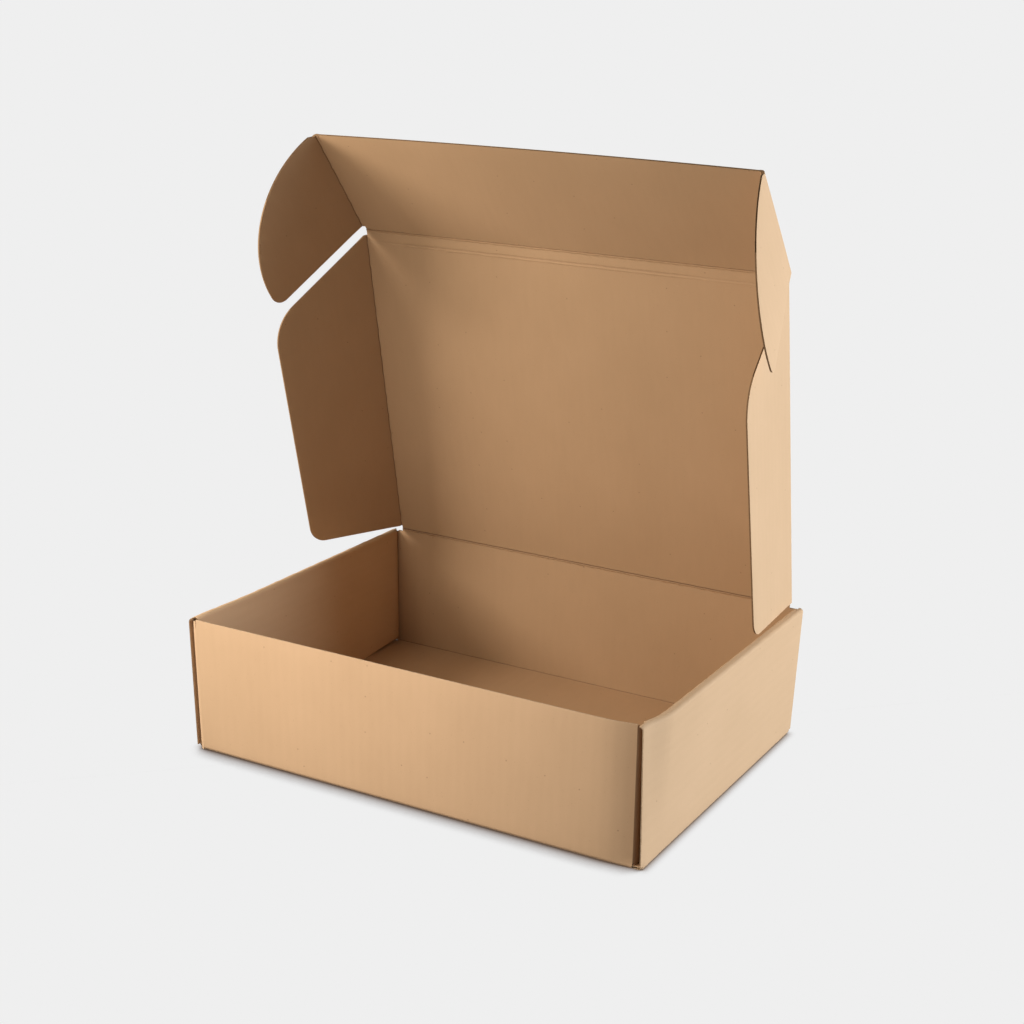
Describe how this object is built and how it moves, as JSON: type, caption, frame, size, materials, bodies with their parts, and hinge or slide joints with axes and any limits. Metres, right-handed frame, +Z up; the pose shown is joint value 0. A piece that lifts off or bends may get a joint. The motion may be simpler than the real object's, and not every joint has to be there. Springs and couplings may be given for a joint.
{
  "type": "document box",
  "caption": "Shallow folding mailer of thin kraft corrugated board: a tray with rolled side walls and a lid hinged on the back wall, with side flaps and an eared tuck flap, standing open.",
  "frame": {"origin": "centre of the tray's underside", "axes": "+Z up, +Y from the open front towards the hinged back wall, +X to the right seen from the front"},
  "size_m": [0.3535, 0.227, 0.3707],
  "materials": {
    "tray_board": "unbleached kraft",
    "lid_board": "unbleached kraft",
    "flap_board": "unbleached kraft",
    "tuck_board": "unbleached kraft"
  },
  "bodies": {
    "tray": {"tray": "tray_board"},
    "lid": {"lid_panel": "lid_board"},
    "flap_left": {"lid_flap_left": "flap_board"},
    "flap_right": {"lid_flap_right": "flap_board"},
    "tuck": {"tuck_flap": "tuck_board"},
    "ear_left": {"tuck_ear_left": "tuck_board"},
    "ear_right": {"tuck_ear_right": "tuck_board"}
  },
  "joints": [
    {"name": "lid_fold", "type": "hinge", "parent": "tray", "child": "lid", "pos_m": [0, 0.11275, 0.08705], "axis": [1, 0, 0], "range_deg": [-102.5, 0]},
    {"name": "flap_left_fold", "type": "hinge", "parent": "lid", "child": "flap_left", "pos_m": [-0.14735, 0.11275, 0.08705], "axis": [0, -0.2164, 0.9763], "range_deg": [-70, 20]},
    {"name": "flap_right_fold", "type": "hinge", "parent": "lid", "child": "flap_right", "pos_m": [0.14735, 0.11275, 0.08705], "axis": [0, 0.2164, -0.9763], "range_deg": [-86, 4]},
    {"name": "tuck_fold", "type": "hinge", "parent": "lid", "child": "tuck", "pos_m": [0, 0.06433, 0.30545], "axis": [1, 0, 0], "range_deg": [-27, 63]},
    {"name": "ear_left_fold", "type": "hinge", "parent": "tuck", "child": "ear_left", "pos_m": [-0.14905, 0.06433, 0.30545], "axis": [0, -0.6361, 0.7716], "range_deg": [-59.5, 30.5]},
    {"name": "ear_right_fold", "type": "hinge", "parent": "tuck", "child": "ear_right", "pos_m": [0.14905, 0.06433, 0.30545], "axis": [0, 0.6361, -0.7716], "range_deg": [-78, 12]}
  ]
}
